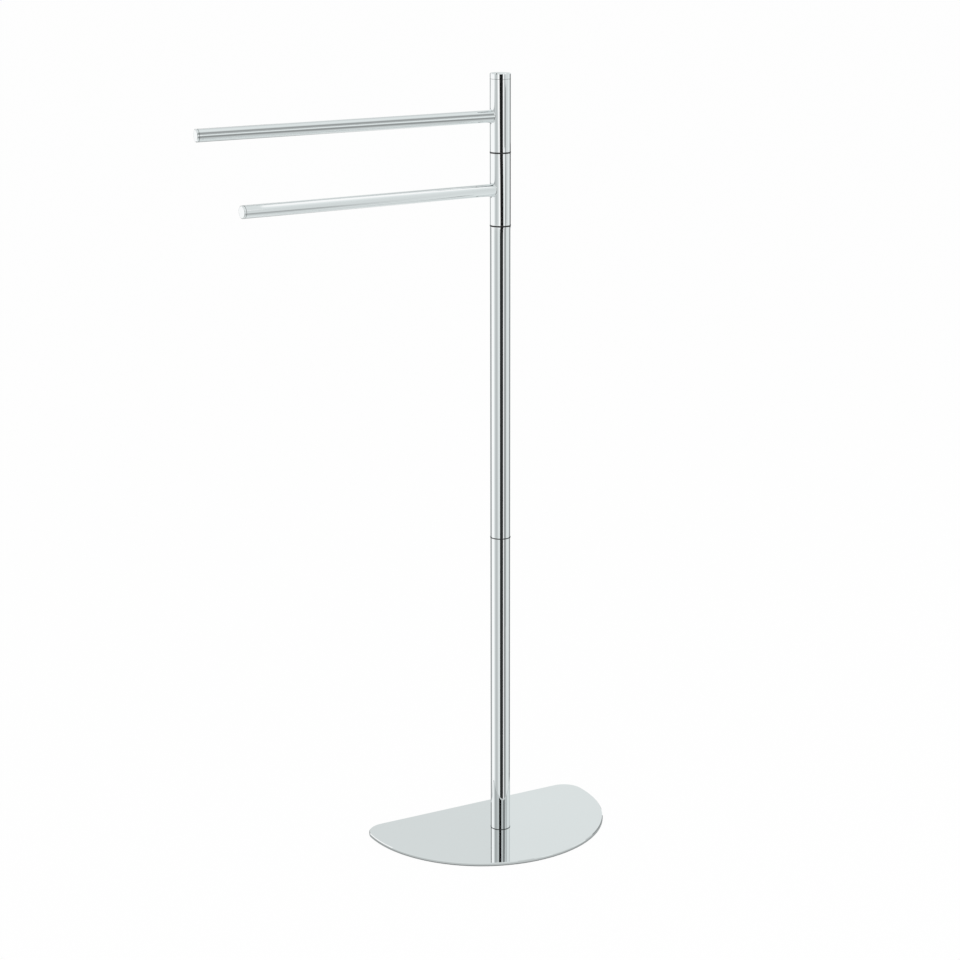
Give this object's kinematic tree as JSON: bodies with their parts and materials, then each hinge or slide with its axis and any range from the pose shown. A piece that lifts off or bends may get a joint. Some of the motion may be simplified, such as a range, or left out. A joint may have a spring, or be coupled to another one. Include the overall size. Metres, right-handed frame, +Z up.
{
  "type": "freestanding towel stand",
  "caption": "Freestanding towel stand: a round post on a flat D-shaped base plate carries two slim arms, one above the other, that swivel about the post.",
  "frame": {"origin": "on the floor under the base plate, on the axis of the post", "axes": "+Z up along the post; +X along the plate's straight back edge, away from the side to which the arms point at rest; -Y towards the plate's curved front edge"},
  "size_m": [0.5383, 0.193, 0.9666],
  "materials": {
    "chrome": "polished chrome plate",
    "black_plastic": "black moulded nylon, satin",
    "underlay": "dark grey anti-slip sheet, matte",
    "steel": "zinc-plated turned steel",
    "spring_steel": "blued spring sheet"
  },
  "bodies": {
    "root": {"anti_slip_underlay": "underlay", "base_plate": "chrome", "base_screw": "steel", "foot_plug": "steel", "lower_post_tube": "chrome", "lower_post_head_plug": "steel", "post_joint_ring": "black_plastic", "post_joint_stud": "steel", "upper_post_foot_plug": "steel", "upper_post_tube": "chrome", "spindle_plug": "steel", "swivel_spindle": "steel", "spindle_disc_spring": "spring_steel", "spindle_flat_washer": "steel", "spindle_lock_nut": "steel"},
    "lower_arm": {"lower_hub_foot_bush": "black_plastic", "lower_hub_sleeve": "chrome", "lower_hub_head_bush": "black_plastic", "lower_arm_tube": "chrome", "lower_arm_root_plug": "steel", "lower_arm_saddle_washer": "steel", "lower_arm_screw": "steel", "lower_arm_end_cap": "chrome"},
    "upper_arm": {"upper_hub_foot_bush": "black_plastic", "upper_hub_sleeve": "chrome", "upper_hub_head_bush": "black_plastic", "upper_arm_tube": "chrome", "upper_arm_root_plug": "steel", "upper_arm_saddle_washer": "steel", "upper_arm_screw": "steel", "upper_arm_end_cap": "chrome", "post_cap": "chrome"}
  },
  "joints": [
    {"name": "lower_arm_swivel", "type": "hinge", "parent": "root", "child": "lower_arm", "pos_m": [0, 0, 0.8282], "axis": [0, 0, 1], "continuous": true},
    {"name": "upper_arm_swivel", "type": "hinge", "parent": "root", "child": "upper_arm", "pos_m": [0, 0, 0.916], "axis": [0, 0, 1], "continuous": true}
  ]
}
